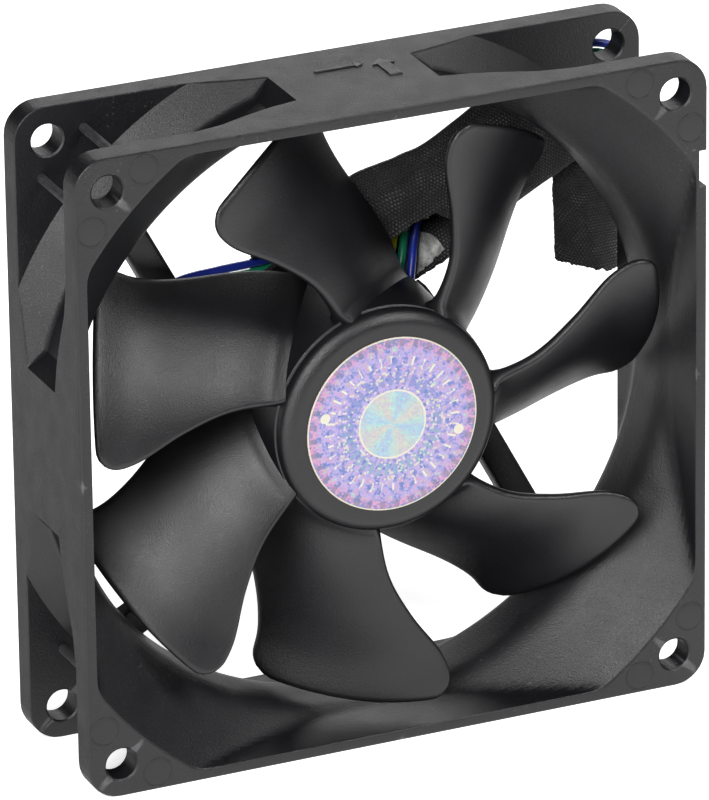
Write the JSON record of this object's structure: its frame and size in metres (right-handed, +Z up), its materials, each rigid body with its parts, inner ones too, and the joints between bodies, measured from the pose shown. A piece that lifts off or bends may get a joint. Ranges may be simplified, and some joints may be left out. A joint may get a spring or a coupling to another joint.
{
  "type": "case fan",
  "caption": "Square axial computer case fan, thin open frame with flanged corners, swept blades, foil hub label and a flat bundled lead folded behind it.",
  "frame": {"origin": "centre of the lower edge face of the square frame", "axes": "+Z up, -Y out of the intake side that carries the hub label, the fan's axis along Y"},
  "size_m": [0.0958, 0.0366, 0.092],
  "materials": {
    "shell": "fine moulded grain, charcoal",
    "rotor_plastic": "semi-gloss black",
    "foil": "holographic foil",
    "steel": "plain",
    "ferrite": "bonded ferrite, matte",
    "nylon": "natural",
    "brass": "plain",
    "bronze": "sintered, oiled",
    "copper": "enamelled winding wire",
    "board": "solder mask",
    "chip": "moulded",
    "paper": "printed sticker, silver grey",
    "cloth": "woven cloth",
    "connector_black": "moulded",
    "tin": "tin plate",
    "wire_black": "satin insulation",
    "wire_yellow": "satin insulation",
    "wire_green": "satin insulation",
    "wire_blue": "satin insulation"
  },
  "bodies": {
    "housing": {"frame": "shell", "bearing_tube": "brass", "sleeve_bearing": "bronze", "oil_seal": "nylon", "thrust_pad": "nylon", "bearing_cap": "steel", "stator_core": "steel", "insulator_front": "nylon", "insulator_rear": "nylon", "coil_1": "copper", "coil_2": "copper", "coil_3": "copper", "coil_4": "copper", "winding_pin_1": "tin", "winding_pin_2": "tin", "winding_pin_3": "tin", "circuit_board": "board", "hall_sensor": "chip", "driver_chip": "chip", "capacitor": "chip", "rear_label": "paper", "wire_black": "wire_black", "wire_yellow": "wire_yellow", "wire_green": "wire_green", "wire_blue": "wire_blue", "cable_wrap": "cloth", "wrap_tail": "cloth", "connector_housing": "connector_black", "terminal_1": "tin", "terminal_2": "tin", "terminal_3": "tin", "terminal_4": "tin"},
    "rotor": {"impeller": "rotor_plastic", "hub_label": "foil", "rotor_yoke": "steel", "ring_magnet": "ferrite", "shaft": "steel", "spacer_washer": "nylon", "retaining_clip": "steel"}
  },
  "joints": [
    {"name": "rotor_spin", "type": "hinge", "parent": "housing", "child": "rotor", "pos_m": [0, 0, 0.046], "axis": [0, -1, 0], "continuous": true}
  ]
}
